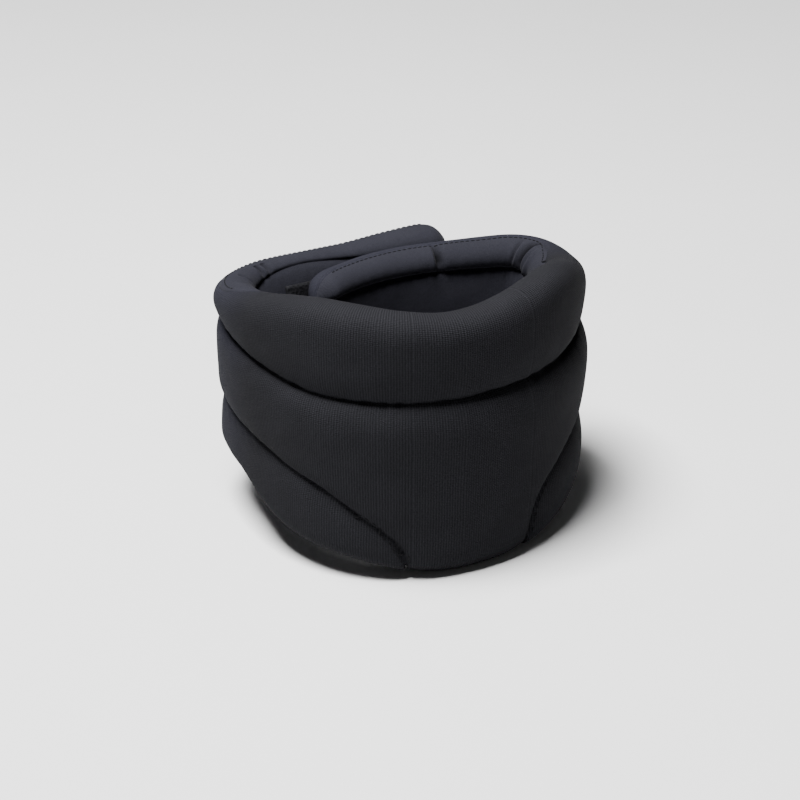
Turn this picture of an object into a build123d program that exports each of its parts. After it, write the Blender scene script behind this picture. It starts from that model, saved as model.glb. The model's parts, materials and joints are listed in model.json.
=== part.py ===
"""Soft cervical collar with three stuffed channels, a chest bib and a hook-and-loop closure.

The collar is a long padded band, bent round the neck. It is sewn into three channels, one above
the other: a top roll, a middle channel that widens at the front into a chest bib, and a lower
channel on each side of the bib. Each channel holds its own foam core, wrapped by an outer cover
and an inner lining that meet at the top edge and the bottom edge. The band folds at two places,
behind the ears, so it is made as a front and two arms. The wearer's left arm tucks inside the
wearer's right arm, and a hook tape grips a loop patch between them.

Frame: +Z up, -Y to the front of the wearer, +X to the wearer's left, in millimetres. The origin
is the centre of the collar's box on the surface that it stands on.
"""

import os
from math import radians, sqrt

from build123d import *

# The band
wall = 22.0
fabric = 1.2
roll_radius = 8.0
fill_share = 0.45

# Clearances
foam_gap = 0.15
edge_gap = 0.1
seam_gap = 0.3
fold_gap = 0.3
tape_gap = 0.2
cut_beyond = 1.0

# The path of the band's middle line, from the front centre back along each side, as arcs.
# Each arc is (radius, turn in degrees). The third arc of each side is the fold. The left arm
# turns further in a thicker band, so that it stays inside the right arm.
left_fold_turn = 53.2 + 0.8 * wall
right_arcs = [(60.0, 67.0), (106.0, 33.5), (37.5, 68.5), (200.0, 25.0)]
left_arcs = [(83.0, 53.5), (73.5, 37.5), (18.8, left_fold_turn), (160.0, 16.0), (87.0, 37.2)]
fold_arc = 2

# Heights along each side, as (distance from the front centre, height)
front_height = 125.0
arm_height = 110.0
crest_heights = [
    (0.0, front_height),
    (55.0, front_height + 4.0),
    (115.0, arm_height + 3.5),
    (190.0, arm_height),
    (270.0, arm_height),
]
upper_seam_heights = [(0.0, 88.5), (55.0, 88.5), (115.0, 92.0), (190.0, 97.5), (270.0, 97.5)]
lower_seam_rise = [(0.0, 10.0), (5.0, 20.0), (35.0, 44.5), (95.0, 53.5), (165.0, 58.0), (250.0, 56.0)]
right_bottom_heights = [(18.0, 0.0), (55.0, 10.5), (112.0, 29.5), (150.0, 29.5), (205.0, 0.0)]
left_bottom_heights = [(18.0, 0.0), (55.0, 5.5), (112.0, 30.5), (138.0, 30.0), (193.0, 0.0)]

# The bib, and the ends of the arms
bib_width = 53.0
bib_shift = 4.0
bib_step = 1.5
end_round = 12.0
top_end_inset = 4.0

# The closure: a hook tape inside the right arm and a loop patch outside the left arm
hook_thickness = 1.2
loop_thickness = 1.0
tape_low = 66.0
tape_high = 92.0
hook_span = (182.0, 254.0)
loop_span = (178.0, 236.0)

# How finely the band's sections are spaced
widest_turn = 12.5
longest_step = 15.0
bib_side_steps = (0.0, bib_step, 5.0, 10.0, 16.0, 24.0, 35.0)
end_steps = (2.6, 4.0, 6.6, 9.0, 12.0)
shortest_step = 0.8

RIGHT, LEFT = -1, 1
OUTER, INNER = 1, -1
BY_LENGTH = PositionMode.LENGTH


def lay_path(start, side, arcs):
    """One side of the band's middle line, in plan, as tangent arcs from the front centre."""
    with BuildLine() as path:
        point = start
        heading = (side, 0)
        for radius, turn in arcs:
            arc = JernArc(start=point, tangent=heading, radius=radius, arc_size=side * turn)
            point = arc @ 1
            heading = arc % 1
    return path.wire()


def arc_lengths(arcs):
    """The length of each arc of a side."""
    return [radius * radians(turn) for radius, turn in arcs]


arcs_of = {RIGHT: right_arcs, LEFT: left_arcs}
arm_end = {side: sum(arc_lengths(arcs)) for side, arcs in arcs_of.items()}
fold_at = {
    side: sum(arc_lengths(arcs)[:fold_arc]) + arc_lengths(arcs)[fold_arc] / 2
    for side, arcs in arcs_of.items()
}
bib_edge = {side: bib_width / 2 + side * bib_shift for side in (RIGHT, LEFT)}


def smooth_height(points, distance):
    """A height read from a smooth curve through the points, with no overshoot between them."""
    places = [place for place, height in points]
    heights = [height for place, height in points]
    if distance <= places[0]:
        return heights[0]
    if distance >= places[-1]:
        return heights[-1]
    spans = [b - a for a, b in zip(places, places[1:])]
    slopes = [(b - a) / span for a, b, span in zip(heights, heights[1:], spans)]
    tangents = [0.0]
    for before, after in zip(slopes, slopes[1:]):
        same_way = before * after > 0
        tangents.append(2 * before * after / (before + after) if same_way else 0.0)
    tangents.append(0.0)
    index = max(i for i, place in enumerate(places[:-1]) if distance >= place)
    span = spans[index]
    t = (distance - places[index]) / span
    return (
        heights[index] * (1 + 2 * t) * (1 - t) ** 2
        + heights[index + 1] * t * t * (3 - 2 * t)
        + tangents[index] * span * t * (1 - t) ** 2
        - tangents[index + 1] * span * t * t * (1 - t)
    )


def side_of(s):
    """The side of the front centre that the distance s along the band is on."""
    return LEFT if s >= 0 else RIGHT


def crest(s):
    """The top of the band, rounded down towards the end of each arm."""
    to_end = arm_end[side_of(s)] - abs(s)
    into_round = max(0.0, end_round - to_end)
    drop = end_round - sqrt(max(0.0, end_round**2 - into_round**2))
    return smooth_height(crest_heights, abs(s)) - drop


def upper_seam(s):
    """The seam between the top roll and the middle channel."""
    return smooth_height(upper_seam_heights, abs(s))


def lower_seam(s):
    """The seam between the middle channel and the lower channel, which starts at the bib."""
    return smooth_height(lower_seam_rise, abs(s) - bib_edge[side_of(s)])


def middle_low(s):
    """The middle channel's bottom: the bib's edge at the front, the lower seam past the bib."""
    past_bib = abs(s) - bib_edge[side_of(s)]
    share = min(1.0, max(0.0, past_bib / bib_step))
    return bottom(s) * (1 - share) + (lower_seam(s) + seam_gap / 2) * share


def bottom(s):
    """The band's bottom edge, which is on the floor at the bib and at the arms' ends."""
    heights = left_bottom_heights if s >= 0 else right_bottom_heights
    return smooth_height(heights, abs(s))


def section_plane(paths, s):
    """The plane across the band at s, with x outward from the neck and y up."""
    path = paths[side_of(s)]
    point = path.position_at(abs(s), position_mode=BY_LENGTH)
    travel = path.tangent_at(abs(s), position_mode=BY_LENGTH) * side_of(s)
    outward = travel.cross(Vector(0, 0, 1))
    return Plane(origin=point, x_dir=outward, z_dir=-travel)


def centred_start():
    """Where the front centre goes, so that the band's box is centred on the origin."""
    rough = {side: lay_path((0, 0), side, arcs) for side, arcs in arcs_of.items()}
    steps = 600
    outside = [
        section_plane(rough, side * arm_end[side] * i / steps).from_local_coords((wall / 2, 0))
        for side in (RIGHT, LEFT)
        for i in range(steps + 1)
    ]
    xs = [point.X for point in outside]
    ys = [point.Y for point in outside]
    return (-(min(xs) + max(xs)) / 2, -(min(ys) + max(ys)) / 2)


def side_stations(side):
    """Distances from the front centre where the band gets a section, on one side."""
    places = [0.0]
    for (radius, turn), length in zip(arcs_of[side], arc_lengths(arcs_of[side])):
        start = places[-1]
        count = int(max(turn / widest_turn, length / longest_step)) + 1
        places += [start + length * (i + 1) / count for i in range(count)]
    bib_side = [bib_edge[side] + step for step in bib_side_steps]
    near_bib = (bib_side[0] - longest_step / 2, bib_side[-1] + longest_step / 2)
    near_end = arm_end[side] - end_steps[-1] - longest_step / 2
    places = [p for p in places if not near_bib[0] < p < near_bib[1] and p < near_end]
    places += bib_side + [arm_end[side] - step for step in end_steps]
    return sorted(places)


front_centre = centred_start()
paths = {side: lay_path(front_centre, side, arcs) for side, arcs in arcs_of.items()}
grid = sorted({side * place for side in (RIGHT, LEFT) for place in side_stations(side)})


def stations(start, stop):
    """The sections of a stretch of the band, from one signed distance to the other."""
    inside = [s for s in grid if start + shortest_step < s < stop - shortest_step]
    return [start] + inside + [stop]


def core_section(s, low, high, inset):
    """A stuffed channel's section: a rounded box across the wall, shrunk by an inset."""
    radius = min(roll_radius, fill_share * (high - low)) - inset
    with BuildSketch(section_plane(paths, s)) as section:
        with Locations((0, (low + high) / 2)):
            RectangleRounded(wall - 2 * inset, high - low - 2 * inset, radius)
    return section.sketch.face()


def half_section(s, low, high, face, hollow):
    """One half of a channel's wrap: the outer cover's half, or the inner lining's."""
    radius = min(roll_radius, fill_share * (high - low))
    middle = (low + high) / 2
    with BuildSketch(section_plane(paths, s)) as section:
        with Locations((0, middle)):
            RectangleRounded(wall, high - low, radius)
            if hollow:
                inner = (wall - 2 * fabric, high - low - 2 * fabric, radius - fabric)
                RectangleRounded(*inner, mode=Mode.SUBTRACT)
        with Locations((face * (edge_gap - wall / 2), middle)):
            Rectangle(wall, high - low + 2 * fabric, mode=Mode.SUBTRACT)
    return section.sketch.face()


class Channel:
    """The heights of a sewn channel along the band."""

    def __init__(self, low, high):
        self.low = low
        self.high = high


top = Channel(lambda s: upper_seam(s) + seam_gap / 2, crest)
middle = Channel(middle_low, lambda s: upper_seam(s) - seam_gap / 2)
lower = Channel(bottom, lambda s: lower_seam(s) - seam_gap / 2)


def write(piece, name):
    """Name a finished piece and write it."""
    piece.part.label = name
    export_step(piece.part, f"parts/{name}.step")


def make_core(name, channel, start, stop):
    """A channel's foam core, along one stretch of the band."""
    inset = fabric + foam_gap
    places = stations(start, stop)
    with BuildPart() as core:
        loft([core_section(s, channel.low(s), channel.high(s), inset) for s in places], ruled=True)
    write(core, name)


def make_front_wrap(name, channel, start, stop, face):
    """The front's cover or lining of a channel, open at both folds."""
    places = stations(start, stop)
    with BuildPart() as wrap:
        loft([half_section(s, channel.low(s), channel.high(s), face, True) for s in places], ruled=True)
    write(wrap, name)


def make_arm_wrap(name, channel, fold, end, face):
    """An arm's cover or lining of a channel, open at the fold and closed at the arm's end."""
    side = side_of(end)
    places = stations(*sorted((fold, end)))
    hollow = stations(*sorted((fold - side * cut_beyond, end - side * fabric)))
    with BuildPart() as wrap:
        loft([half_section(s, channel.low(s), channel.high(s), face, False) for s in places], ruled=True)
        loft(
            [core_section(s, channel.low(s), channel.high(s), fabric) for s in hollow],
            ruled=True,
            mode=Mode.SUBTRACT,
        )
    write(wrap, name)


def make_tape(name, side, face, span, thickness):
    """A flat closure tape on one face of an arm."""
    offset = face * (wall / 2 + tape_gap + thickness / 2)
    sections = []
    for s in stations(*sorted(side * place for place in span)):
        with BuildSketch(section_plane(paths, s)) as section:
            with Locations((offset, (tape_low + tape_high) / 2)):
                Rectangle(thickness, tape_high - tape_low)
        sections.append(section.sketch.face())
    with BuildPart() as tape:
        loft(sections, ruled=True)
    write(tape, name)


os.makedirs("parts", exist_ok=True)

# The front, between the two folds
front_start = -(fold_at[RIGHT] - fold_gap / 2)
front_stop = fold_at[LEFT] - fold_gap / 2
front_channels = {
    "front_top": (top, front_start, front_stop),
    "front_middle": (middle, front_start, front_stop),
    "front_lower_right": (lower, front_start, -(bib_edge[RIGHT] + bib_step)),
    "front_lower_left": (lower, bib_edge[LEFT] + bib_step, front_stop),
}
for name, (channel, start, stop) in front_channels.items():
    make_core(f"{name}_foam", channel, start, stop)
    make_front_wrap(f"{name}_cover", channel, start, stop, OUTER)
    make_front_wrap(f"{name}_lining", channel, start, stop, INNER)

# The two arms, from a fold to an end
arm_channels = {"top": (top, top_end_inset), "middle": (middle, 0.0), "lower": (lower, 0.0)}
for side, arm in ((RIGHT, "right_arm"), (LEFT, "left_arm")):
    fold = side * (fold_at[side] + fold_gap / 2)
    for level, (channel, inset) in arm_channels.items():
        end = side * (arm_end[side] - inset)
        foam_end = end - side * (fabric + foam_gap)
        make_core(f"{arm}_{level}_foam", channel, *sorted((fold, foam_end)))
        make_arm_wrap(f"{arm}_{level}_cover", channel, fold, end, OUTER)
        make_arm_wrap(f"{arm}_{level}_lining", channel, fold, end, INNER)

# The closure
make_tape("hook_tape", RIGHT, INNER, hook_span, hook_thickness)
make_tape("loop_patch", LEFT, OUTER, loop_span, loop_thickness)
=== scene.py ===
"""The fabric, foam and closure of a soft cervical collar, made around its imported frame.

The collar is one padded band in three sewn channels, bent round the neck. Its skin is laid out
along the band's path, puffed up as cloth between its seams, and cut into a cover and a lining for
each channel. Foam cores fill the channels, and a hook tape and a loop patch close the arms.
"""

import json
import math

import bmesh
import bpy
import numpy as np
from mathutils import Matrix, Vector
from mathutils.bvhtree import BVHTree

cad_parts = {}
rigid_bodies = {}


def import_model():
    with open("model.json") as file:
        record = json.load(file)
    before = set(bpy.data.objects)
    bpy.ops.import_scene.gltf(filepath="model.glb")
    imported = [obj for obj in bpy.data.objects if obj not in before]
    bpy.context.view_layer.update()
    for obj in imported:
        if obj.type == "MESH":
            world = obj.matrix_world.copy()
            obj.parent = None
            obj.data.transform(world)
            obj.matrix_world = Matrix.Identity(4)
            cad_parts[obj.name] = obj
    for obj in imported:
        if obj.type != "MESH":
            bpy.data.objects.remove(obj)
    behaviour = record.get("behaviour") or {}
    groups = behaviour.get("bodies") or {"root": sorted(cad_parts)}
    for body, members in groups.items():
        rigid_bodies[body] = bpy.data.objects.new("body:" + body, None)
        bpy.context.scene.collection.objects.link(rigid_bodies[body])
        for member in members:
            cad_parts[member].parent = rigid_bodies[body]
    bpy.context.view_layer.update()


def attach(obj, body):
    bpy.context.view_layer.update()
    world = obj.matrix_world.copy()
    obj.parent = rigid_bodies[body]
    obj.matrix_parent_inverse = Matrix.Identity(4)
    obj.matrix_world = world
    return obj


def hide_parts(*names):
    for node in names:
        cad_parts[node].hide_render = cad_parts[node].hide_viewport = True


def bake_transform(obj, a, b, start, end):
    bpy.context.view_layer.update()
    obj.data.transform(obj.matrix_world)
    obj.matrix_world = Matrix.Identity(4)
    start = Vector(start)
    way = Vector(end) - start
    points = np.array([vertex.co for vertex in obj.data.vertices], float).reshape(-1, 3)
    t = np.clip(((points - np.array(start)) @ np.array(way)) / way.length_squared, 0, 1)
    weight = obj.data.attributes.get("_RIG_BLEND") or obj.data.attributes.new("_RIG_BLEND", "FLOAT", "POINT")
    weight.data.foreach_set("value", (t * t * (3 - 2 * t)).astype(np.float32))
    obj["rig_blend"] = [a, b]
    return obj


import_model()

bl_info = {
    "name": "Soft cervical collar",
    "version": (1, 0, 0),
    "blender": (4, 5, 0),
    "location": "View3D > Sidebar > Collar",
    "description": "Makes the fabric, foam and closure of a soft cervical collar",
    "category": "Add Mesh",
}

MM = 0.001
RIGHT, LEFT = -1, 1
SIDE_NAMES = {RIGHT: "right", LEFT: "left"}

# The band's middle line as (radius in mm, turn in degrees), from the front centre back
ARCS = {
    RIGHT: [(60.0, 67.0), (106.0, 33.5), (37.5, 68.5), (200.0, 25.0)],
    LEFT: [(83.0, 53.5), (73.5, 37.5), (18.8, 70.8), (160.0, 16.0), (87.0, 37.2)],
}
FOLD_ARC = 2
FRONT_CENTRE = (-8.74, -65.47)

# Heights in mm, as (distance from the front centre, height)
CREST = {
    RIGHT: [
        (0.0, 125.0), (55.0, 129.0), (115.0, 115.0), (165.0, 106.4), (205.0, 105.4), (262.0, 110.5),
    ],
    LEFT: [(0.0, 125.0), (55.0, 129.0), (115.0, 114.3), (190.0, 110.5), (270.0, 110.0)],
}
UPPER_SEAM = [(0.0, 88.5), (55.0, 88.5), (115.0, 92.0), (190.0, 97.5), (270.0, 97.5)]
# The lower seam's distances are measured from the bib's side
LOWER_SEAM = {
    RIGHT: [
        (0.0, 12.0), (5.0, 20.0), (20.0, 32.5), (35.0, 42.0), (65.0, 49.0), (95.0, 52.0), (165.0, 57.0),
    ],
    LEFT: [(0.0, 8.0), (4.0, 22.0), (12.0, 32.0), (35.0, 43.0), (95.0, 51.5), (165.0, 57.0)],
}
BOTTOM = {
    RIGHT: [
        (3.0, 0.0), (22.0, 3.0), (40.0, 7.5), (55.0, 10.0), (80.0, 15.0), (112.0, 27.5), (150.0, 28.5),
        (205.0, 0.0),
    ],
    LEFT: [(18.0, 0.0), (55.0, 4.5), (112.0, 29.5), (138.0, 29.5), (193.0, 0.0)],
}
BIB_EDGE = {RIGHT: 22.5, LEFT: 34.0}
BIB_STEP = 1.5

# Where the outside swells or dips, in mm: (thickness, distance, its reach, height, its reach), with
# distances to the wearer's right counted as negative
SWELLS = [
    (2.4, -138.0, 26.0, 102.0, 14.0),
    (2.6, 92.0, 34.0, 72.0, 18.0),
    (1.6, 70.0, 30.0, 30.0, 18.0),
    (-2.2, -112.0, 30.0, 46.0, 14.0),
    (1.6, 104.0, 22.0, 108.0, 9.0),
    (2.0, -10.0, 65.0, 73.0, 14.0),
]

# The small folds inside each bend, in mm: (distance past the middle of the fold, depth, width)
PLEATS = {
    RIGHT: [(-4.5, 1.3, 0.9), (10.0, 1.9, 0.8), (14.0, 1.6, 0.8)],
    LEFT: [(-15.5, 1.1, 0.9), (-10.0, 5.0, 1.9), (2.0, 0.9, 0.9)],
}
CREASE_AT = 181.0
FAR_AWAY = 1e9

# The bands of the skin, round the section from the bottom edge up the outside and down the inside
BANDS = ["lower_cover", "middle_cover", "top_cover", "top_lining", "middle_lining", "lower_lining"]
BAND_ROWS = [8, 10, 12, 9, 9, 8]


class CollarSizes(bpy.types.PropertyGroup):
    """Sizes of the padded band and its closure"""

    wall: bpy.props.FloatProperty(
        name="Wall", description="Thickness of the padded band", default=22 * MM, unit="LENGTH"
    )
    seam_depth: bpy.props.FloatProperty(
        name="Seam depth", description="How far a seam pulls the skin in", default=5.4 * MM, unit="LENGTH"
    )
    seam_round: bpy.props.FloatProperty(
        name="Seam round", description="Width of a tight seam rounding", default=9 * MM, unit="LENGTH"
    )
    wide_round: bpy.props.FloatProperty(
        name="Wide round", description="Width of a wide seam rounding", default=17 * MM, unit="LENGTH"
    )
    edge_round: bpy.props.FloatProperty(
        name="Edge round", description="Height of the rounding at the top", default=12 * MM, unit="LENGTH"
    )
    hem_round: bpy.props.FloatProperty(
        name="Hem round", description="Height of the rounding at the bottom", default=8 * MM, unit="LENGTH"
    )
    nose_round: bpy.props.FloatProperty(
        name="Nose round", description="Length of the rounding at an arm's end", default=8 * MM, unit="LENGTH"
    )
    puff: bpy.props.FloatProperty(
        name="Puff", description="Cloth pressure that fills the channels", default=4.0
    )
    puff_limit: bpy.props.FloatProperty(
        name="Puff limit", description="How far the cloth may move", default=1.0 * MM, unit="LENGTH"
    )
    hook_thickness: bpy.props.FloatProperty(
        name="Hook tape", description="Thickness of the hook tape", default=1.2 * MM, unit="LENGTH"
    )
    loop_thickness: bpy.props.FloatProperty(
        name="Loop patch", description="Thickness of the loop patch", default=1.0 * MM, unit="LENGTH"
    )


class CollarColours(bpy.types.PropertyGroup):
    """Colours of the collar's fabrics"""

    rib_ridge: bpy.props.StringProperty(
        name="Rib ridge", description="Rib knit, raised wales", default="#242427"
    )
    rib_valley: bpy.props.StringProperty(
        name="Rib valley", description="Rib knit, between wales", default="#060608"
    )
    # Painted sheen: the two side colours are a lighter, slightly blue copy of the rib knit's colours,
    # standing in for the knit's sheen seen obliquely round the sides.
    sheen_side_light: bpy.props.StringProperty(
        name="Side light", description="Stretched rib knit", default="#2A2A31"
    )
    sheen_side_dark: bpy.props.StringProperty(
        name="Side dark", description="Stretched rib knit, valleys", default="#14141A"
    )
    jersey_light: bpy.props.StringProperty(
        name="Jersey light", description="Smooth jersey", default="#24242A"
    )
    jersey_dark: bpy.props.StringProperty(
        name="Jersey dark", description="Smooth jersey, shaded loops", default="#121217"
    )
    foam: bpy.props.StringProperty(
        name="Foam", description="Polyurethane foam", default="#3A3A3C"
    )
    hook: bpy.props.StringProperty(
        name="Hook tape", description="Moulded hooks", default="#131316"
    )
    loop: bpy.props.StringProperty(
        name="Loop pile", description="Brushed loops", default="#202024"
    )
    # The thread colour is partly the thread's own dark colour and partly painted shade of the stitch holes.
    thread: bpy.props.StringProperty(
        name="Thread", description="Sewing thread", default="#0D0D0F"
    )
    floor: bpy.props.StringProperty(
        name="Floor", description="Floor paint", default="#D2D2D2"
    )


def sizes():
    """The sizes set in the scene."""
    return bpy.context.scene.collar_sizes


def colours():
    """The colours set in the scene."""
    return bpy.context.scene.collar_colours


# ---------------------------------------------------------------- the band's layout


def side_length(side):
    """Length of one side of the middle line, in mm."""
    return sum(radius * math.radians(turn) for radius, turn in ARCS[side])


def fold_place(side):
    """Distance from the front centre to the middle of the fold, in mm."""
    before = sum(radius * math.radians(turn) for radius, turn in ARCS[side][:FOLD_ARC])
    radius, turn = ARCS[side][FOLD_ARC]
    return before + radius * math.radians(turn) / 2


ARM_END = {side: side_length(side) for side in (RIGHT, LEFT)}
FOLD_AT = {side: fold_place(side) for side in (RIGHT, LEFT)}


def plan_frame(s):
    """Points of the middle line and outward directions, in plan, at signed distances in mm."""
    s = np.asarray(s, float)
    point = np.zeros(s.shape + (2,))
    outward = np.zeros(s.shape + (2,))
    for side in (RIGHT, LEFT):
        on_side = s >= 0 if side == LEFT else s < 0
        x, y = 0.0, 0.0
        heading = 0.0
        start = 0.0
        for radius, turn in ARCS[side]:
            angle = heading + (np.abs(s) - start) / radius
            here = on_side & (np.abs(s) >= start)
            across = x + radius * (np.sin(angle) - math.sin(heading))
            back = y - radius * (np.cos(angle) - math.cos(heading))
            point[here] = np.stack([side * across, back], -1)[here]
            outward[here] = np.stack([side * np.sin(angle), -np.cos(angle)], -1)[here]
            end = heading + math.radians(turn)
            x += radius * (math.sin(end) - math.sin(heading))
            y -= radius * (math.cos(end) - math.cos(heading))
            heading = end
            start += radius * math.radians(turn)
    return point + np.array(FRONT_CENTRE), outward


def smooth_height(points, distance):
    """Heights from a smooth curve through the points, with no overshoot between them."""
    places = np.array([place for place, height in points])
    heights = np.array([height for place, height in points])
    slopes = np.diff(heights) / np.diff(places)
    tangents = np.zeros(len(places))
    for i in range(1, len(places) - 1):
        if slopes[i - 1] * slopes[i] > 0:
            tangents[i] = 2 * slopes[i - 1] * slopes[i] / (slopes[i - 1] + slopes[i])
    distance = np.clip(distance, places[0], places[-1])
    i = np.clip(np.searchsorted(places, distance, side="right") - 1, 0, len(places) - 2)
    span = places[i + 1] - places[i]
    t = (distance - places[i]) / span
    return (
        heights[i] * (1 + 2 * t) * (1 - t) ** 2
        + heights[i + 1] * t * t * (3 - 2 * t)
        + tangents[i] * span * t * (1 - t) ** 2
        - tangents[i + 1] * span * t * t * (1 - t)
    )


def hump(value, middle, reach):
    """A smooth rise from 0 to 1 and back, round a middle value."""
    return np.exp(-(((value - middle) / reach) ** 2))


def by_side(s, right, left):
    """One value on the wearer's right and another on the left."""
    return np.where(np.asarray(s) >= 0, left, right)


def side_height(points, s, distance):
    """Heights from the curve of each side."""
    return by_side(s, smooth_height(points[RIGHT], distance), smooth_height(points[LEFT], distance))


def to_arm_end(s):
    """Distance to the end of the arm, in mm."""
    return by_side(s, ARM_END[RIGHT], ARM_END[LEFT]) - np.abs(s)


def crest(s):
    """Height of the band's top edge, rounded down at the arms' ends."""
    end_round = 13.0
    into = np.clip(end_round - to_arm_end(s), 0, end_round)
    height = side_height(CREST, s, np.abs(s))
    return height - (end_round - np.sqrt(end_round**2 - into**2))


def upper_seam(s):
    """Height of the seam under the top roll."""
    return smooth_height(UPPER_SEAM, np.abs(s))


def roll_seam(s, face):
    """Height of the seam under the top roll as it shows outside (face 1) or inside (face -1)."""
    outer_drop, inner_rise, fold_rise = 1.6, 2.4, 3.0
    inside = upper_seam(s) + inner_rise + fold_rise * (hump(s, 133.0, 24.0) + hump(s, -185.0, 26.0))
    return np.where(np.asarray(face) > 0, upper_seam(s) - outer_drop, inside)


def bottom(s):
    """Height of the band's bottom edge."""
    return side_height(BOTTOM, s, np.abs(s))


def lower_seam(s):
    """Height of the seam over a lower channel, which drops to the bottom edge at the bib."""
    past = np.abs(s) - by_side(s, BIB_EDGE[RIGHT], BIB_EDGE[LEFT])
    share = np.clip(past / BIB_STEP, 0, 1)
    return bottom(s) * (1 - share) + side_height(LOWER_SEAM, s, past) * share


def cover_edge(s):
    """How far outside the crest the cover meets the lining, in mm along the skin."""
    front_edge, arm_edge = -9.0, by_side(s, 8.5, 0.8)
    start, length = 92.0, 38.0
    t = np.clip((np.abs(s) - start) / length, 0, 1)
    return front_edge + (arm_edge - front_edge) * t * t * (3 - 2 * t)


def distance_to(curve_s, curve_z, s, z):
    """Shortest distances in the flat band from points to a curve."""
    a = np.stack([curve_s[:-1], curve_z[:-1]], -1)
    b = np.stack([curve_s[1:], curve_z[1:]], -1)
    d = b - a
    length = np.maximum((d**2).sum(-1), 1e-9)
    best = np.full(s.shape, FAR_AWAY)
    p = np.stack([s, z], -1)
    reach = 16.0
    for i in range(len(d)):
        near = np.abs(s - (a[i, 0] + b[i, 0]) / 2) < reach + abs(d[i, 0])
        if not near.any():
            continue
        w = p[near] - a[i]
        t = np.clip((w @ d[i]) / length[i], 0, 1)
        best[near] = np.minimum(best[near], np.hypot(*(w - t[:, None] * d[i]).T))
    return best


def round_off(distance, radius, fullness=2.0):
    """Share of full thickness beside an edge: 0 at the edge, 1 past the radius."""
    x = np.clip(distance / radius, 0, 1)
    return (1 - (1 - x) ** fullness) ** (1 / fullness)


def band_curve(height):
    """A height curve over the whole band, as points for distances."""
    spacing = 1.0
    s = np.arange(-ARM_END[RIGHT], ARM_END[LEFT] + spacing, spacing)
    steps = (0.0, 0.4, 0.8, BIB_STEP)
    extra = [side * (BIB_EDGE[side] + step) for side in (RIGHT, LEFT) for step in steps]
    s = np.unique(np.concatenate([s, extra]))
    return s, height(s)


def lower_seam_distances(s, z):
    """Distances in mm from points to the lower seam of each side, far for the other side's points."""
    low_s, low_z = band_curve(lower_seam)
    sewn = np.abs(low_s) >= by_side(low_s, BIB_EDGE[RIGHT], BIB_EDGE[LEFT]) - 1e-6
    distances = []
    for side in (RIGHT, LEFT):
        part = sewn & (np.sign(low_s) == side)
        near = distance_to(low_s[part], low_z[part], s, z)
        distances.append(np.where(np.sign(s) == -side, FAR_AWAY, near))
    return distances


def half_thickness(s, z, face):
    """How far the skin stands out from the middle line at points of the flat band, in mm."""
    outside = face > 0
    wall = sizes().wall / MM / 2
    tight, wide = sizes().seam_round / MM, sizes().wide_round / MM
    inner_share, lower_share = 0.72, 0.7
    depth = sizes().seam_depth / MM * (1.0 if outside else inner_share)
    edge_fullness, hem_fullness = (2.5 if outside else 2.0), 3.0
    thickness = wall * round_off(crest(s) - z, sizes().edge_round / MM, edge_fullness)
    thickness *= round_off(z - bottom(s), sizes().hem_round / MM, hem_fullness)
    if outside:
        for swell, along, along_reach, up, up_reach in SWELLS:
            thickness += swell * hump(s, along, along_reach) * hump(z, up, up_reach)
        bib_taper, bib_height = 2.4, 42.0
        thickness -= bib_taper * np.clip((bib_height - z) / bib_height, 0, 1) ** 1.5 * hump(s, 5.0, 45.0)
    else:
        squeezed, roll_start = 3.6, 90.0
        thickness -= squeezed * hump(s, -156.0, 20.0) * np.clip((z - roll_start) / 8.0, 0, 1)
    thickness *= round_off(to_arm_end(s), sizes().nose_round / MM)
    seam_s, seam_z = band_curve(lambda q: roll_seam(q, face))
    upper = distance_to(seam_s, seam_z, s, z)
    above, under, fullness = (1.15 * wide, 1.2 * tight, 2.0) if outside else (tight, 1.5 * wide, 1.5)
    below = z < roll_seam(s, face)
    pulled = 1 - np.where(below, round_off(upper, under, fullness), round_off(upper, above))
    thickness *= 1 - depth / wall * pulled
    hem_fade, least_held = 9.0, 0.25
    held = np.clip((z - bottom(s)) / hem_fade, least_held, 1)
    reach = np.where(outside & (z < lower_seam(s)), 0.8 * wide, tight)
    for lower in lower_seam_distances(s, z):
        thickness *= 1 - lower_share * depth / wall * held * (1 - round_off(lower, reach))
    return thickness


def skin_columns():
    """Signed distances of the skin's columns, closer together at the bib, the folds and the ends."""
    nose = sizes().nose_round / MM
    spacing, bib_reach = 4.0, 11.5
    bib_steps = np.array([-1.0, 0.0, 0.5, 1.0, 1.5, 2.2, 3.0, 4.0, 5.2, 6.8, 9.0, bib_reach])
    places = []
    for side in (RIGHT, LEFT):
        edge, end = BIB_EDGE[side], ARM_END[side]
        front = np.linspace(0, edge - 2, 6)
        steps = int((end - nose - edge - bib_reach) / spacing)
        along = np.linspace(edge + bib_reach, end - nose, steps)[1:]
        bend = FOLD_AT[side] + np.arange(-20.0, 19.0, 1.6)
        along = along[(along < bend[0] - 1.5) | (along > bend[-1] + 1.5)]
        if side == LEFT:
            crease = CREASE_AT + np.arange(-4.0, 7.1, 1.4)
            along = along[(along < crease[0] - 1.2) | (along > crease[-1] + 1.2)]
            along = np.concatenate([along, crease])
        rounding = end - nose * (1 - np.sin(np.linspace(0, math.pi / 2, 7)))[1:]
        places.append(side * np.concatenate([front, edge + bib_steps, along, bend, rounding]))
    return np.unique(np.round(np.concatenate(places), 6))


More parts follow.
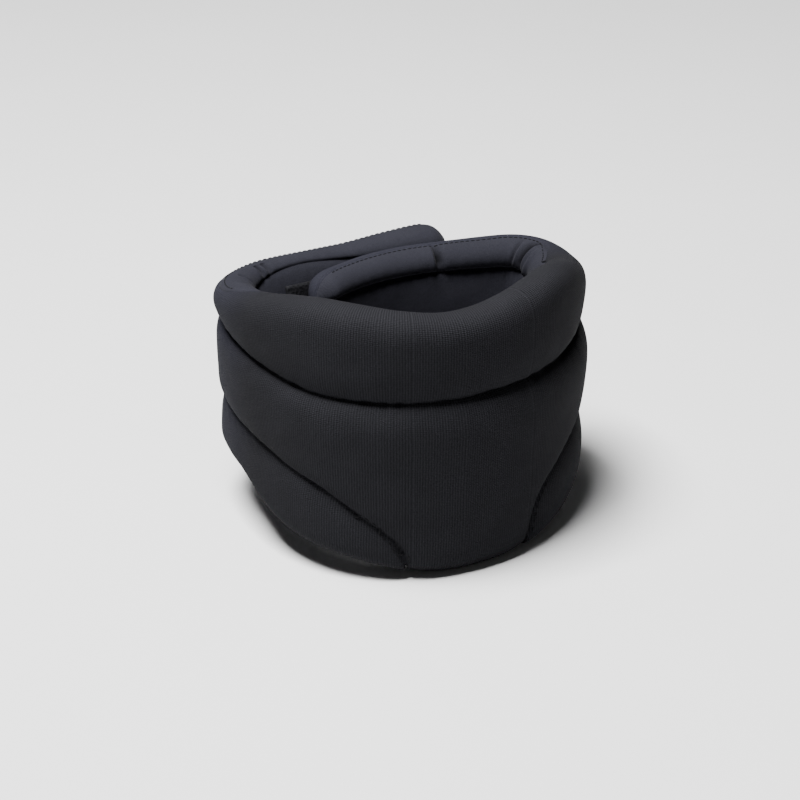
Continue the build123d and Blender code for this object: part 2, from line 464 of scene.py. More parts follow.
def section_lines(columns):
    """Each column's section, as rows of (outward, height) with each row's girth from the crest."""
    samples, evenness = 180, 0.55
    ease = (1 - np.cos(np.linspace(0, math.pi, samples))) / 2
    low = bottom(columns)
    high = crest(columns)
    z = low[:, None] + (high - low)[:, None] * ease[None]
    s = np.repeat(columns[:, None], samples, 1)
    outer = half_thickness(s.ravel(), z.ravel(), 1).reshape(z.shape)
    inner = half_thickness(s.ravel(), z.ravel(), -1).reshape(z.shape)
    rows_out, rows_up, rows_girth = [], [], []
    for i, column in enumerate(columns):
        out = np.concatenate([outer[i], -inner[i][::-1][1:]])
        up = np.concatenate([z[i], z[i][::-1][1:]])
        girth = np.concatenate([[0], np.cumsum(np.hypot(np.diff(out), np.diff(up)))])
        top = girth[samples - 1]
        outer_girth, inner_girth = girth[:samples], girth[samples - 1:]
        lower_out = np.interp(lower_seam(column), z[i], outer_girth)
        upper_out = np.interp(roll_seam(column, 1), z[i], outer_girth)
        lower_in = np.interp(-lower_seam(column), -z[i][::-1], inner_girth)
        upper_in = np.interp(-roll_seam(column, -1), -z[i][::-1], inner_girth)
        marks = [0, lower_out, upper_out, top - cover_edge(column), upper_in, lower_in, girth[-1]]
        places = [np.array([0.0])]
        for band, rows in enumerate(BAND_ROWS):
            t = np.linspace(0, 1, rows + 1)[1:]
            t = evenness * t + (1 - evenness) * (1 - np.cos(math.pi * t)) / 2
            places.append(marks[band] + (marks[band + 1] - marks[band]) * t)
        places = np.concatenate(places)
        rows_out.append(np.interp(places, girth, out))
        rows_up.append(np.interp(places, girth, up))
        rows_girth.append(places - top)
    return np.array(rows_out), np.array(rows_up), np.array(rows_girth)


def to_world(s, out, up):
    """Points in metres from the band's own distances in mm."""
    point, outward = plan_frame(s)
    flat = point + outward * np.asarray(out)[..., None]
    return np.concatenate([flat, np.asarray(up)[..., None]], -1) * MM


# ---------------------------------------------------------------- mesh helpers


def new_object(name, bm, material=None):
    """Turn a bmesh into an object at the origin."""
    mesh = bpy.data.meshes.new(name)
    bm.to_mesh(mesh)
    bm.free()
    piece = bpy.data.objects.new(name, mesh)
    bpy.context.scene.collection.objects.link(piece)
    if material is not None:
        mesh.materials.clear()
        mesh.materials.append(material)
    for polygon in mesh.polygons:
        polygon.use_smooth = True
    return piece


def bent_grid(s, out, up, girth):
    """A grid bent onto the band: arrays are columns by rows. Its UV map holds metres of cloth."""
    columns, rows = out.shape
    bm = bmesh.new()
    weave = bm.loops.layers.uv.new("weave")
    bm.edges.layers.float.new("crease_edge")
    bm.verts.layers.deform.verify()
    bmesh.ops.create_grid(bm, x_segments=columns - 1, y_segments=rows - 1, size=0.5)
    world = to_world(np.repeat(s[:, None], rows, 1), out, up)
    places = {}
    for vert in bm.verts:
        i = round((vert.co.x + 0.5) * (columns - 1))
        j = round((vert.co.y + 0.5) * (rows - 1))
        places[vert] = (i, j)
    for face in bm.faces:
        for loop in face.loops:
            i, j = places[loop.vert]
            loop[weave].uv = (s[i] * MM, girth[i, j] * MM)
    for vert, (i, j) in places.items():
        vert.co = world[i, j]
    return bm, places


def puffed_skin():
    """The whole skin as one closed mesh, laid out on the band and puffed up between its seams."""
    columns = skin_columns()
    out, up, girth = section_lines(columns)
    bm, places = bent_grid(columns, out, up, girth)
    band_start = np.concatenate([[0], np.cumsum(BAND_ROWS)])
    crease = bm.edges.layers.float["crease_edge"]
    pin = bm.verts.layers.deform.active
    for face in bm.faces:
        row = min(places[vert][1] for vert in face.verts)
        face.material_index = int(np.searchsorted(band_start, row, side="right") - 1)
    seam_rows = {int(band_start[k]) for k in (1, 2, 4, 5)}
    edge_rows = {0, int(band_start[3]), int(band_start[6])}
    for edge in bm.edges:
        rows = {places[vert][1] for vert in edge.verts}
        if len(rows) == 1 and rows <= seam_rows:
            edge[crease] = 1.0
    for vert, (i, j) in places.items():
        sewn = j in seam_rows or j in edge_rows or i in (0, len(columns) - 1)
        vert[pin][0] = 1.0 if sewn else 0.0
    bmesh.ops.remove_doubles(bm, verts=bm.verts, dist=0.02 * MM)
    bmesh.ops.dissolve_degenerate(bm, edges=bm.edges, dist=0.01 * MM)
    bmesh.ops.recalc_face_normals(bm, faces=bm.faces)
    skin = new_object("skin", bm)
    skin.vertex_groups.new(name="pin")
    blow_up(skin)
    subdivide(skin, 2)
    return skin


def blow_up(skin):
    """Fill the skin with cloth pressure, held at its seams, and keep each point near its start."""
    start = np.empty(len(skin.data.vertices) * 3)
    skin.data.vertices.foreach_get("co", start)
    start = start.reshape(-1, 3)
    cloth = skin.modifiers.new("puff", "CLOTH")
    cloth.settings.vertex_group_mass = "pin"
    cloth.settings.use_pressure = True
    cloth.settings.uniform_pressure_force = sizes().puff
    cloth.settings.effector_weights.gravity = 0
    cloth.settings.bending_stiffness = 0.4
    cloth.point_cache.frame_start = 1
    cloth.point_cache.frame_end = 20
    for step in range(1, 21):
        bpy.context.scene.frame_set(step)
    shown = skin.evaluated_get(bpy.context.evaluated_depsgraph_get())
    puffed = np.empty(len(start) * 3)
    shown.data.vertices.foreach_get("co", puffed)
    move = puffed.reshape(-1, 3) - start
    length = np.linalg.norm(move, axis=1)
    limit = sizes().puff_limit
    move *= (np.minimum(length, limit) / np.maximum(length, 1e-9))[:, None]
    skin.modifiers.remove(cloth)
    bpy.context.scene.frame_set(1)
    skin.data.vertices.foreach_set("co", (start + move).ravel())
    skin.data.update()


def subdivide(piece, levels):
    """Smooth a mesh by subdivision and keep the result."""
    smooth = piece.modifiers.new("smooth", "SUBSURF")
    smooth.levels = levels
    smooth.render_levels = levels
    smooth.uv_smooth = "NONE"
    shown = piece.evaluated_get(bpy.context.evaluated_depsgraph_get())
    done = bpy.data.meshes.new_from_object(shown)
    piece.modifiers.remove(smooth)
    piece.data = done


def skin_places(mesh):
    """Each vertex's signed distance and girth in mm, read from the weave map."""
    weave = mesh.uv_layers["weave"].uv
    uv = np.empty(len(weave) * 2)
    weave.foreach_get("vector", uv)
    corner = np.empty(len(mesh.loops), int)
    mesh.loops.foreach_get("vertex_index", corner)
    place = np.zeros((len(mesh.vertices), 2))
    place[corner] = uv.reshape(-1, 2) / MM
    return place[:, 0], place[:, 1]


def soft_noise(s, t, size, seed):
    """A smooth repeatable unevenness between -1 and 1, with bumps of about the given size."""
    total = np.zeros_like(s)
    draws = np.random.default_rng(seed)
    waves = 7
    for _ in range(waves):
        angle = draws.uniform(0, math.tau)
        stretch = draws.uniform(0.7, 1.4) / size * math.tau / 2
        along = (s * math.cos(angle) + t * math.sin(angle)) * stretch
        total += np.sin(along + draws.uniform(0, math.tau))
    return total / waves


def creases(s, girth, up):
    """Height in mm of the small folds that bending presses into the skin."""
    lift = np.zeros_like(s)
    inside = np.clip((girth - 0.5) / 5.0, 0, 1)
    over_seam = np.clip((up - roll_seam(s, -1) - 0.5) / 5.0, 0, 1)
    gentle_side, swell_share = 2.4, 0.45
    for side in (RIGHT, LEFT):
        for k, (offset, depth, width) in enumerate(PLEATS[side]):
            slant = 0.25 * (up - 102.0) + 0.5 * np.sin(up / 4.0 + 2.1 * k)
            place = side * s - FOLD_AT[side] - offset + slant
            press = np.where(place < 0, hump(place, 0.0, width), hump(place, 0.0, gentle_side * width))
            lift -= depth * inside * over_seam * press
            lift += swell_share * depth * inside * over_seam * hump(place, -2.6 * width, 1.6 * width)
    depth, steep, gentle = 2.6, 1.0, 2.6
    place = s - CREASE_AT - 0.05 * (up - 100)
    press = np.where(place > 0, hump(place, 0.0, steep), hump(place, 0.0, gentle))
    above = np.clip((up - roll_seam(s, -1)) / 6.0, 0, 1)
    lift -= depth * above * np.clip((girth + 2) / 10, 0, 1) * press
    return lift


def seam_pull(distance, along, depth, pucker):
    """The tight line that a seam draws, with small puckers beside it."""
    line = -depth * hump(distance, 0.0, 1.1)
    waves = np.sin(along * math.tau / 7.3) + 0.6 * np.sin(along * math.tau / 4.1 + 1.7)
    return line + pucker * waves * hump(distance, 3.0, 2.6)


def add_details(skin):
    """Press creases, seam lines and unevenness into the smoothed skin. The pressed attribute says
    how deep in a crease each point lies, from 0 to 1; the lining's colour is darkened by it as painted shade
    in the creases."""
    mesh = skin.data
    s, girth = skin_places(mesh)
    co = np.empty(len(mesh.vertices) * 3)
    mesh.vertices.foreach_get("co", co)
    co = co.reshape(-1, 3)
    normal = np.array([v.vector for v in mesh.vertex_normals])
    up = co[:, 2] / MM
    seam = roll_seam(s, np.where(girth < 0, 1, -1))
    lift = 0.45 * soft_noise(s, girth, 30.0, 3) + 0.16 * soft_noise(s, girth, 9.0, 8)
    pressed = creases(s, girth, up)
    # Painted shade: this crease depth, full at 2.5 mm deep, darkens the lining's colour in the creases.
    darkest = 2.5
    shade = mesh.attributes.new("pressed", "FLOAT", "POINT")
    shade.data.foreach_set("value", np.clip(-pressed / darkest, 0, 1))
    lift += pressed
    lift += seam_pull(np.abs(up - seam), s, np.where(girth < 0, 0.9, 0.3), 0.07)
    for near in lower_seam_distances(s, up):
        lift += seam_pull(near, s + up, 0.4, 0.07)
    top_depth, top_width, floor_gap = 0.7, 0.8, 0.05
    lift -= top_depth * hump(girth, -cover_edge(s), top_width)
    co += normal * (lift * MM)[:, None]
    co = keep_clear(co, s)
    co[:, 2] = np.maximum(co[:, 2], floor_gap * MM)
    mesh.vertices.foreach_set("co", co.ravel())
    mesh.update()


def keep_clear(co, s):
    """Hold the skin inside the band's thickness, and tighter where the two arms overlap."""
    point, outward = plan_frame(s)
    out = ((co[:, :2] / MM - point) * outward).sum(1)
    wall = sizes().wall / MM / 2
    outer_spare, inner_spare = 4.0, 1.4
    overlap_start, overlap_ease = FOLD_AT[LEFT] + 14.0, 10.0
    overlap = np.clip((np.abs(s) - overlap_start) / overlap_ease, 0, 1)
    high = wall + outer_spare * np.where(s > 0, 1 - overlap, 1)
    low = -wall - inner_spare * np.where(s < 0, 1 - overlap, 1)
    shift = np.clip(out, low, high) - out
    co[:, :2] += outward * (shift * MM)[:, None]
    return co


def cut_piece(skin, band, side, name, material):
    """One cover or lining: the faces of one band on one side, with the whole band's normals."""
    bm = bmesh.new()
    bm.from_mesh(skin.data)
    other_bands = [face for face in bm.faces if face.material_index != band]
    bmesh.ops.delete(bm, geom=other_bands, context="FACES")
    bm.normal_update()
    carried = bm.verts.layers.float_vector.new("band_normal")
    for vert in bm.verts:
        vert[carried] = vert.normal
    weave = bm.loops.layers.uv["weave"]
    other_side = []
    for face in bm.faces:
        middle = sum(loop[weave].uv.x for loop in face.loops)
        if (middle >= 0) != (side == LEFT):
            other_side.append(face)
        face.material_index = 0
    bmesh.ops.delete(bm, geom=other_side, context="FACES")
    normals = [tuple(vert[carried]) for vert in bm.verts]
    bm.verts.layers.float_vector.remove(carried)
    piece = new_object(name, bm, material)
    piece.data.normals_split_custom_set_from_vertices(normals)
    return piece


def bend_with_arm(piece, side):
    """Let a piece follow the front before the fold and the arm after it."""
    reach = {RIGHT: 17.0, LEFT: 12.0}[side] * MM
    turns = [turn for _radius, turn in ARCS[side]]
    heading = math.radians(sum(turns[:FOLD_ARC]) + turns[FOLD_ARC] / 2)
    outward, height = 1.0, 60.0
    middle = Vector(to_world(np.array(side * FOLD_AT[side]), np.array(outward), np.array(height)))
    along = Vector((side * math.cos(heading), math.sin(heading), 0))
    arm = f"{SIDE_NAMES[side]}_arm"
    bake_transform(piece, "front", arm, start=middle - along * reach, end=middle + along * reach)


def channel_nodes(level, kind, side):
    """The CAD nodes that one side's cover, lining or core of a channel stands for."""
    name = SIDE_NAMES[side]
    front = f"front_lower_{name}_{kind}" if level == "lower" else f"front_{level}_{kind}"
    return [front, f"{name}_arm_{level}_{kind}"]


# ---------------------------------------------------------------- materials


def linear(code):
    """A linear colour from an sRGB hex code."""
    values = [int(code[i:i + 2], 16) / 255 for i in (1, 3, 5)]
    return [v / 12.92 if v <= 0.04045 else ((v + 0.055) / 1.055) ** 2.4 for v in values] + [1.0]


def add_node(tree, kind, values=None, links=None, **settings):
    """Add a node, set its settings and socket values, and link its sockets."""
    made = tree.nodes.new(kind)
    for key, value in settings.items():
        setattr(made, key, value)
    for socket, value in (values or {}).items():
        made.inputs[socket].default_value = value
    for socket, source in (links or {}).items():
        tree.links.new(source, made.inputs[socket])
    return made


def start_material(name, **shader_values):
    """A new material with a plain shader, and its tree."""
    material = bpy.data.materials.new(name)
    material.use_nodes = True
    tree = material.node_tree
    tree.nodes.clear()
    values = {key.replace("_", " "): value for key, value in shader_values.items()}
    shader = add_node(tree, "ShaderNodeBsdfPrincipled", values)
    add_node(tree, "ShaderNodeOutputMaterial", links={"Surface": shader.outputs[0]})
    return material, tree, shader


def wave_scale(period_mm):
    """The wave texture's scale for bands a given distance apart."""
    return math.tau / (20 * period_mm * MM)


def rib_knit():
    """Rib-knit polyester cover: upright wales read as fine vertical lines at the front, and the
    knit looks smoother round the sides, where a lighter, slightly blue colour is painted sheen."""
    material, tree, shader = start_material(
        "rib_knit_polyester", Roughness=0.8, Specular_IOR_Level=0.03
    )
    weave = {"Vector": add_node(tree, "ShaderNodeUVMap", uv_map="weave").outputs[0]}
    wale_mm, course_mm, fuzz_mm, patch_mm = 1.05, 0.85, 0.75, 14.0
    side_start, side_end = 98.0 * MM, 135.0 * MM
    wales = add_node(
        tree, "ShaderNodeTexWave",
        {"Scale": wave_scale(wale_mm), "Distortion": 0.9, "Detail": 1.0, "Detail Scale": 0.4},
        weave, wave_type="BANDS", bands_direction="X",
    )
    loops = add_node(
        tree, "ShaderNodeTexWave",
        {"Scale": wave_scale(course_mm), "Distortion": 2.0, "Detail": 2.0, "Detail Scale": 1.0},
        weave, wave_type="BANDS", bands_direction="Y",
    )
    fuzz, patch = (
        add_node(tree, "ShaderNodeTexNoise", {"Scale": 1 / (size * MM), "Detail": detail}, weave)
        for size, detail in ((fuzz_mm, 3.0), (patch_mm, 4.0))
    )
    along = add_node(tree, "ShaderNodeSeparateXYZ", links=weave).outputs[0]
    distance = add_node(tree, "ShaderNodeMath", links={0: along}, operation="ABSOLUTE").outputs[0]
    # Round the sides the wales' bump fades, and the colour turns to the painted sheen.
    side_sheen_share, flattened = (
        add_node(tree, "ShaderNodeMapRange", values, {0: distance}).outputs[0]
        for values in (
            {1: side_start, 2: side_end}, {1: 0.6 * side_start, 2: side_end, 3: 1.0, 4: 0.12}
        )
    )
    ribs = add_node(
        tree, "ShaderNodeMath", links={0: wales.outputs["Fac"], 1: flattened}, operation="MULTIPLY"
    )
    height = ribs.outputs[0]
    for texture, share in ((loops, 0.5), (fuzz, 1.5)):
        height = add_node(
            tree, "ShaderNodeMath", {1: share}, {0: texture.outputs["Fac"], 2: height},
            operation="MULTIPLY_ADD",
        ).outputs[0]
    shade = add_node(tree, "ShaderNodeMath", {1: 0.36}, {0: height}, operation="MULTIPLY").outputs[0]
    # The second colour pair is a painted sheen copy of the knit, lighter and slightly blue.
    front, sheen_knit = (
        add_node(
            tree, "ShaderNodeMix", {6: linear(low), 7: linear(high)}, {0: shade}, data_type="RGBA"
        ).outputs[2]
        for low, high in (
            (colours().rib_valley, colours().rib_ridge), (colours().sheen_side_dark, colours().sheen_side_light)
        )
    )
    cloth = add_node(
        tree, "ShaderNodeMix", links={0: side_sheen_share, 6: front, 7: sheen_knit}, data_type="RGBA"
    ).outputs[2]
    worn = add_node(tree, "ShaderNodeMapRange", {3: 0.86, 4: 1.14}, {0: patch.outputs["Fac"]})
    tint = add_node(
        tree, "ShaderNodeHueSaturation", links={"Color": cloth, "Value": worn.outputs[0]}
    )
    bump = add_node(
        tree, "ShaderNodeBump", {"Strength": 0.55, "Distance": 0.35 * MM}, {"Height": height}
    )
    tree.links.new(tint.outputs[0], shader.inputs["Base Color"])
    tree.links.new(bump.outputs[0], shader.inputs["Normal"])
    return material


def brushed_jersey():
    """Brushed nylon jersey lining: soft and slightly blue, with fine loops and a faint nap, and
    darkened in the creases by painted shade."""
    material, tree, shader = start_material(
        "brushed_nylon_lining", Roughness=0.85, Sheen_Weight=0.02, Sheen_Roughness=0.4,
        Specular_IOR_Level=0.05,
    )
    weave = {"Vector": add_node(tree, "ShaderNodeUVMap", uv_map="weave").outputs[0]}
    loop_mm, fuzz_mm, nap_mm, patch_mm = 0.8, 0.55, 1.8, 16.0
    loops = add_node(
        tree, "ShaderNodeTexWave",
        {"Scale": wave_scale(loop_mm), "Distortion": 6.0, "Detail": 3.0, "Detail Scale": 2.5},
        weave, wave_type="BANDS", bands_direction="X",
    )
    fuzz, nap, patch = (
        add_node(tree, "ShaderNodeTexNoise", {"Scale": 1 / (size * MM), "Detail": 4.0}, weave)
        for size in (fuzz_mm, nap_mm, patch_mm)
    )
    height = fuzz.outputs["Fac"]
    for texture, share in ((loops, 0.3), (nap, 0.5)):
        height = add_node(
            tree, "ShaderNodeMath", {1: share}, {0: texture.outputs["Fac"], 2: height},
            operation="MULTIPLY_ADD",
        ).outputs[0]
    shade = add_node(tree, "ShaderNodeMath", {1: 0.62}, {0: height}, operation="MULTIPLY").outputs[0]
    cloth = add_node(
        tree, "ShaderNodeMix", {6: linear(colours().jersey_dark), 7: linear(colours().jersey_light)},
        {0: shade}, data_type="RGBA",
    ).outputs[2]
    pressed = add_node(tree, "ShaderNodeAttribute", attribute_name="pressed")
    # uneven is random patch tone; flat is painted crease shade, falling from 1 to 0.18 with the crease depth.
    uneven, flat = (
        add_node(tree, "ShaderNodeMapRange", {3: low, 4: high}, {0: source.outputs["Fac"]})
        for source, low, high in ((patch, 0.88, 1.12), (pressed, 1.0, 0.18))
    )
    # worn: the random patch tone times the painted crease shade.
    worn = add_node(
        tree, "ShaderNodeMath", links={0: uneven.outputs[0], 1: flat.outputs[0]},
        operation="MULTIPLY",
    )
    tint = add_node(
        tree, "ShaderNodeHueSaturation", links={"Color": cloth, "Value": worn.outputs[0]}
    )
    bump = add_node(
        tree, "ShaderNodeBump", {"Strength": 0.6, "Distance": 0.3 * MM}, {"Height": height}
    )
    tree.links.new(tint.outputs[0], shader.inputs["Base Color"])
    tree.links.new(bump.outputs[0], shader.inputs["Normal"])
    return material


def rough_surface(name, low_code, high_code, grain_mm, lift_mm, roughness):
    """A material of small uneven grains, such as foam cells, moulded hooks or brushed loops."""
    material, tree, shader = start_material(name, Roughness=roughness, Specular_IOR_Level=0.1)
    place = {"Vector": add_node(tree, "ShaderNodeTexCoord").outputs["Object"]}
    scale = 1 / (grain_mm * MM)
    grain = add_node(tree, "ShaderNodeTexVoronoi", {"Scale": scale}, place)
    fuzz = add_node(tree, "ShaderNodeTexNoise", {"Scale": 3 * scale, "Detail": 3.0}, place)
    height = add_node(
        tree, "ShaderNodeMath", {1: 0.4}, {0: fuzz.outputs["Fac"], 2: grain.outputs["Distance"]},
        operation="MULTIPLY_ADD",
    ).outputs[0]
    mix = add_node(
        tree, "ShaderNodeMix", {6: linear(low_code), 7: linear(high_code)}, {0: height},
        data_type="RGBA",
    )
    bump = add_node(
        tree, "ShaderNodeBump", {"Strength": 0.8, "Distance": lift_mm * MM}, {"Height": height}
    )
    tree.links.new(mix.outputs[2], shader.inputs["Base Color"])
    tree.links.new(bump.outputs[0], shader.inputs["Normal"])
    return material


def thread_material():
    """Spun polyester thread: two plies twisted round each other, with a faint shine.
    Its dark colour is partly the thread's own and partly painted shade of the stitch holes.
    """
    material, tree, shader = start_material(
        "spun_polyester_thread", Roughness=0.8, Specular_IOR_Level=0.1
    )
    place = {"Vector": add_node(tree, "ShaderNodeTexCoord").outputs["Object"]}
    ply_mm = 0.35
    plies = add_node(
        tree, "ShaderNodeTexWave", {"Scale": wave_scale(ply_mm), "Distortion": 0.5}, place,
        wave_type="BANDS", bands_direction="DIAGONAL",
    ).outputs["Fac"]
    # Both ply colours are darker than the cloth: the thread's own dark colour plus painted shade of the
    # stitch holes.
    mix = add_node(
        tree, "ShaderNodeMix", {6: linear("#050506"), 7: linear(colours().thread)}, {0: plies},
        data_type="RGBA",
    )
    bump = add_node(
        tree, "ShaderNodeBump", {"Strength": 0.4, "Distance": 0.08 * MM}, {"Height": plies}
    )
    tree.links.new(mix.outputs[2], shader.inputs["Base Color"])
    tree.links.new(bump.outputs[0], shader.inputs["Normal"])
    return material


def floor_paint():
    """Matt pale floor paint: even, with a very faint unevenness."""
    material, tree, shader = start_material("matt_floor_paint", Roughness=0.9)
    place = add_node(tree, "ShaderNodeTexCoord").outputs["Object"]
    uneven = add_node(tree, "ShaderNodeTexNoise", {"Scale": 6.0, "Detail": 3.0}, {"Vector": place})
    mix = add_node(
        tree, "ShaderNodeMix", {6: linear("#CCCCCC"), 7: linear(colours().floor)},
        {0: uneven.outputs["Fac"]}, data_type="RGBA",
    )
    tree.links.new(mix.outputs[2], shader.inputs["Base Color"])
    return material


# ---------------------------------------------------------------- operators


class COLLAR_OT_stage(bpy.types.Operator):
    """Add the floor, the soft lights and the camera"""

    bl_idname = "collar.stage"
    bl_label = "Stage"

    def execute(self, context):
        bm = bmesh.new()
        bmesh.ops.create_grid(bm, x_segments=8, y_segments=8, size=4.0)
        floor = new_object("floor", bm, floor_paint())
        lights = {
            "key": ((-0.42, -0.06, 1.58), 0.6, 124.0),
            "fill": ((-0.6, -1.3, 0.9), 1.0, 0.8),
            "back": ((-0.3, 0.9, 1.5), 0.8, 4.0),
        }
        middle = Vector((0, 0, 0.06))
        for name, (place, width, power) in lights.items():
            light = bpy.data.lights.new(name, "AREA")
            light.size = width
            light.energy = power
            lamp = bpy.data.objects.new(name, light)
            lamp.location = place
            lamp.rotation_euler = (middle - Vector(place)).to_track_quat("-Z", "Y").to_euler()
            context.scene.collection.objects.link(lamp)
        world = bpy.data.worlds.new("studio")
        world.use_nodes = True
        background = world.node_tree.nodes["Background"]
        background.inputs["Color"].default_value = (1, 1, 1, 1)
        background.inputs["Strength"].default_value = 0.04
        context.scene.world = world
        self.add_camera(context)
        return {"FINISHED"}

    def add_camera(self, context):
        """Stand the camera in front, to the wearer's right and above."""
        azimuth, elevation, distance = math.radians(-24.3), math.radians(26.1), 1.110
        target = Vector((-8.74, -5.47, 55.0)) * MM
        back = Vector((
            math.sin(azimuth) * math.cos(elevation),
            -math.cos(azimuth) * math.cos(elevation),
            math.sin(elevation),
        ))
        lens = bpy.data.cameras.new("camera")
        lens.sensor_width = 36.0
        lens.lens = 108.9
        lens.shift_x = 0.0011
        lens.shift_y = 0.0032
        camera = bpy.data.objects.new("camera", lens)
        camera.location = target + back * distance
        camera.rotation_euler = back.to_track_quat("Z", "Y").to_euler()
        context.scene.collection.objects.link(camera)
        context.scene.camera = camera


class COLLAR_OT_padded_band(bpy.types.Operator):
    """Sew the covers and linings of the three channels"""

    bl_idname = "collar.padded_band"
    bl_label = "Covers and linings"

    def execute(self, context):
        skin = puffed_skin()
        add_details(skin)
        rib = rib_knit()
        lining = brushed_jersey()
        for band, label in enumerate(BANDS):
            level, kind = label.split("_")
            for side in (RIGHT, LEFT):
                cloth = lining if kind == "lining" else rib
                name = f"{SIDE_NAMES[side]}_{level}_{kind}"
                piece = cut_piece(skin, band, side, name, cloth)
                bend_with_arm(piece, side)
                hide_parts(*channel_nodes(level, kind, side))
        bpy.data.objects.remove(skin)
        return {"FINISHED"}


class COLLAR_OT_foam_cores(bpy.types.Operator):
    """Fill the channels with foam cores"""

    bl_idname = "collar.foam_cores"
    bl_label = "Foam cores"

    def execute(self, context):
        foam = rough_surface("polyurethane_foam", "#1E1E20", colours().foam, 0.9, 0.3, 0.95)
        levels = {
            "top": (upper_seam, crest),
            "middle": (lower_seam, upper_seam),
            "lower": (bottom, lower_seam),
        }
        for level, (low, high) in levels.items():
            for side in (RIGHT, LEFT):
                piece = self.core(level, low, high, side, foam)
                bend_with_arm(piece, side)
                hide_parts(*channel_nodes(level, "foam", side))
        return {"FINISHED"}

    def core(self, level, low, high, side, foam):
        """One channel's core on one side, a little inside its fabric."""
        inset, spacing, ring, squared = 4.0, 4.0, 20, 0.8
        pressed, pressed_at, pressed_reach = 4.5, FOLD_AT[LEFT] - 9.0, 13.0
        start = BIB_EDGE[side] + BIB_STEP + inset if level == "lower" else 0.0
        end = ARM_END[side] - inset - (3.0 if level == "top" else 0.0)
        columns = side * np.linspace(start, end, int((end - start) / spacing))
        columns = np.sort(columns)
        turn = np.linspace(0, math.tau, ring + 1)
        top = high(columns) - inset
        base = low(columns) + inset
        middle, reach = (top + base) / 2, (top - base) / 2
        up = middle[:, None] + reach[:, None] * np.sign(np.sin(turn)) * np.abs(np.sin(turn)) ** squared
        faces = [half_thickness(columns, middle, face)[:, None] - inset for face in (1, -1)]
        faces[1] -= pressed * hump(columns, pressed_at, pressed_reach)[:, None]
        across = np.sign(np.cos(turn)) * np.abs(np.cos(turn)) ** squared
        out = np.where(across > 0, faces[0], faces[1]) * across
        girth = turn[None] * reach[:, None]
        bm, _places = bent_grid(columns, out, up, girth)
        bmesh.ops.remove_doubles(bm, verts=bm.verts, dist=0.05 * MM)
        rims = [edge for edge in bm.edges if edge.is_boundary]
        bmesh.ops.holes_fill(bm, edges=rims, sides=0)
        bmesh.ops.recalc_face_normals(bm, faces=bm.faces)
        return new_object(f"{SIDE_NAMES[side]}_{level}_foam", bm, foam)


class COLLAR_OT_closure(bpy.types.Operator):
    """Add the hook tape and the loop patch"""

    bl_idname = "collar.closure"
    bl_label = "Hook tape and loop patch"

    def execute(self, context):
        hooks = rough_surface("moulded_nylon_hooks", "#060607", colours().hook, 1.3, 0.4, 0.8)
        pile = rough_surface("brushed_nylon_loops", "#101013", colours().loop, 0.8, 0.4, 0.95)
        tapes = {
            "hook_tape": (RIGHT, -1, (175.0, 252.0), sizes().hook_thickness, hooks, "hook_tape"),
            "loop_patch": (LEFT, 1, (178.0, 236.0), sizes().loop_thickness, pile, "loop_pile"),
        }
        for name, (side, face, span, thickness, material, slot) in tapes.items():
            piece = self.tape(name, side, face, span, thickness, material)
            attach(piece, f"{SIDE_NAMES[side]}_arm")
            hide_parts(name)
        return {"FINISHED"}

    def tape(self, name, side, face, span, thickness, material):
        """A flat tape that follows one face of an arm."""
        low, high, gap = 67.0, 95.5, 0.3
        columns = np.sort(side * np.linspace(span[0], span[1], 49))
        rows = np.linspace(low, high, 19)
        up = np.repeat(rows[None], len(columns), 0)
        along = np.repeat(columns[:, None], len(rows), 1)
        out = face * (half_thickness(along.ravel(), up.ravel(), face).reshape(up.shape) + gap)
        bm, _places = bent_grid(columns, out, up, up)
        bmesh.ops.recalc_face_normals(bm, faces=bm.faces)
        facing = plan_frame(columns[len(columns) // 2:][:1])[1][0] * face
        bm.faces.ensure_lookup_table()
        if bm.faces[0].normal.xy.dot(Vector(facing)) < 0:
            bmesh.ops.reverse_faces(bm, faces=bm.faces)
        bmesh.ops.solidify(bm, geom=bm.faces[:], thickness=-thickness)
        bmesh.ops.recalc_face_normals(bm, faces=bm.faces)
        self.tufts(bm, side, face, span, (low, high), gap + thickness)
        return new_object(name, bm, material)

    def tufts(self, bm, side, face, span, heights, lift):
        """Rows of small uneven hooks or loops that stand up from a tape."""
        pitch, radius, stray = 1.7, 0.6, 0.45
        draws = np.random.default_rng(5)
        places = np.arange(span[0] + 1, span[1] - 1, pitch)
        rows = np.arange(heights[0] + 1, heights[1] - 0.5, pitch)
        along, up = (side * values.ravel() for values in np.meshgrid(places, side * rows))
        along = along + draws.uniform(-stray, stray, along.shape)
        up = up + draws.uniform(-stray, stray, up.shape)
        out = face * (half_thickness(along, up, face) + lift)
        for point in to_world(along, out, up):
            size = radius * MM * draws.uniform(0.75, 1.2)
            place = Matrix.Translation(point)
            bmesh.ops.create_icosphere(bm, subdivisions=1, radius=size, matrix=place)


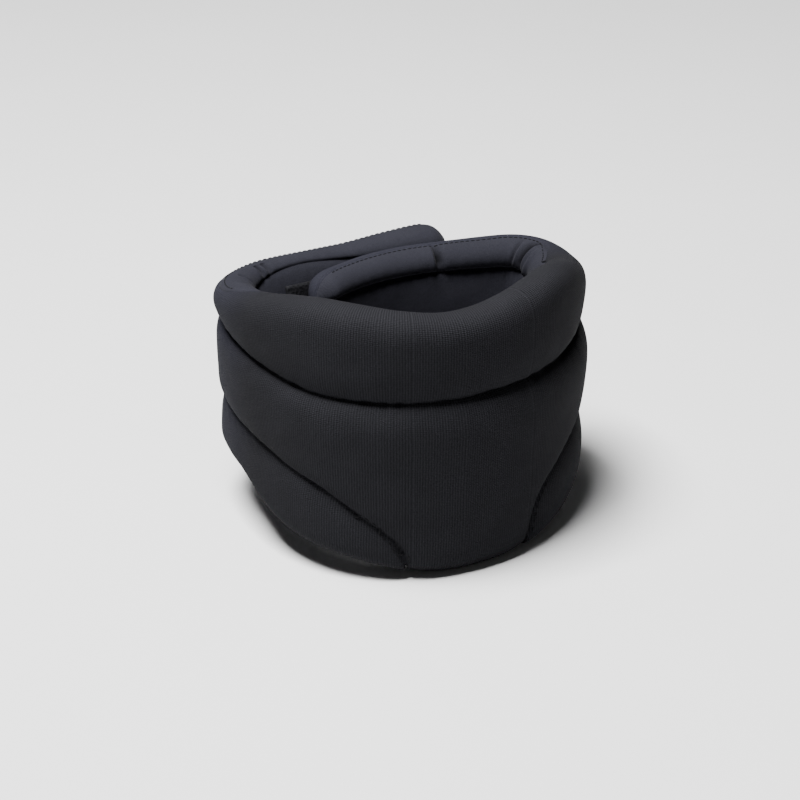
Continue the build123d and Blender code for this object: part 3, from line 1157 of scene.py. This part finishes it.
class COLLAR_OT_stitching(bpy.types.Operator):
    """Sew the topstitch of the top edge and the stitches beside the bib"""

    bl_idname = "collar.stitching"
    bl_label = "Stitching"

    def execute(self, context):
        thread = thread_material()
        for side in (RIGHT, LEFT):
            trees = [self.tree(bpy.data.objects[f"{SIDE_NAMES[side]}_{band}"]) for band in BANDS]
            piece = self.topstitch(side, trees, thread)
            bend_with_arm(piece, side)
        return {"FINISHED"}

    def tree(self, piece):
        """A search tree of one skin piece."""
        return BVHTree.FromPolygons(
            [v.co for v in piece.data.vertices], [tuple(p.vertices) for p in piece.data.polygons]
        )

    def on_skin(self, trees, s, out, up):
        """The skin's point and normal nearest to a place on the band."""
        guess = Vector(to_world(np.array(s), np.array(out), np.array(up)))
        found = [tree.find_nearest(guess) for tree in trees]
        near = min((hit for hit in found if hit[0] is not None), key=lambda hit: hit[3])
        return near[0], near[1]

    def topstitch(self, side, trees, thread):
        """A row of stitches on the lining, beside the seam along the top edge."""
        pitch, length, beside, above, end_gap = 2.6, 1.6, 1.5, 0.5, 12.0
        first = {RIGHT: 124.0, LEFT: 96.0}[side]
        bm = bmesh.new()
        for distance in np.arange(first, ARM_END[side] - end_gap, pitch):
            ends = []
            for step in (0.0, length):
                place = side * (distance + step)
                out = float(cover_edge(place)) - beside
                ends.append(self.on_skin(trees, place, out, float(crest(place)) + above))
            self.stitch(bm, ends)
        self.bib_stitch(bm, side, trees)
        return new_object(f"{SIDE_NAMES[side]}_topstitch", bm, thread)

    def bib_stitch(self, bm, side, trees):
        """Stitches on the bib beside the seam at its side."""
        pitch, length, beside, face_out = 3.6, 1.7, 1.7, 11.0
        upright, span, low = 8, 22, 2.0
        past = np.concatenate([np.zeros(upright), np.linspace(0, span, 60)])
        rise = smooth_height(LOWER_SEAM[side], np.maximum(past - BIB_STEP, 0))
        rise[:upright] = np.linspace(low, rise[upright], upright)
        walked = np.concatenate([[0], np.cumsum(np.hypot(np.diff(past), np.diff(rise)))])
        for start in np.arange(1.0, walked[-1] - length, pitch):
            ends = []
            for walk in (start, start + length):
                place = side * (BIB_EDGE[side] + BIB_STEP + np.interp(walk, walked, past) - beside)
                up = np.interp(walk, walked, rise) + 0.5 * beside
                ends.append(self.on_skin(trees, place, face_out, up))
            self.stitch(bm, ends)

    def stitch(self, bm, ends):
        """One stitch: a slim rounded bar half sunk in the cloth."""
        width, raised = 0.6 * MM, 0.12
        (start, up), (end, _up) = ends
        along = end - start
        across = along.cross(up).normalized()
        lift = across.cross(along).normalized()
        turn = Matrix((along.normalized(), across, lift)).transposed().to_4x4()
        size = Matrix.Diagonal((along.length / 2 + width / 3, width / 2, width / 2, 1))
        place = Matrix.Translation((start + end) / 2 + up * width * raised) @ turn @ size
        bmesh.ops.create_uvsphere(bm, u_segments=8, v_segments=5, radius=1.0, matrix=place)


class COLLAR_PT_panel(bpy.types.Panel):
    """Lists the collar's pieces"""

    bl_idname = "COLLAR_PT_panel"
    bl_label = "Soft cervical collar"
    bl_space_type = "VIEW_3D"
    bl_region_type = "UI"
    bl_category = "Collar"

    def draw(self, context):
        for operator in OPERATORS:
            self.layout.operator(operator.bl_idname)


OPERATORS = [
    COLLAR_OT_stage,
    COLLAR_OT_padded_band,
    COLLAR_OT_foam_cores,
    COLLAR_OT_closure,
    COLLAR_OT_stitching,
]
CLASSES = [CollarSizes, CollarColours, *OPERATORS, COLLAR_PT_panel]


def register():
    """Add the collar's classes and settings."""
    for kind in CLASSES:
        bpy.utils.register_class(kind)
    bpy.types.Scene.collar_sizes = bpy.props.PointerProperty(type=CollarSizes)
    bpy.types.Scene.collar_colours = bpy.props.PointerProperty(type=CollarColours)


def unregister():
    """Remove the collar's classes and settings."""
    del bpy.types.Scene.collar_colours
    del bpy.types.Scene.collar_sizes
    for kind in reversed(CLASSES):
        bpy.utils.unregister_class(kind)


def main():
    """Make the collar."""
    register()
    bpy.ops.collar.stage()
    bpy.ops.collar.padded_band()
    bpy.ops.collar.foam_cores()
    bpy.ops.collar.closure()
    bpy.ops.collar.stitching()


if __name__ == "__main__":
    main()
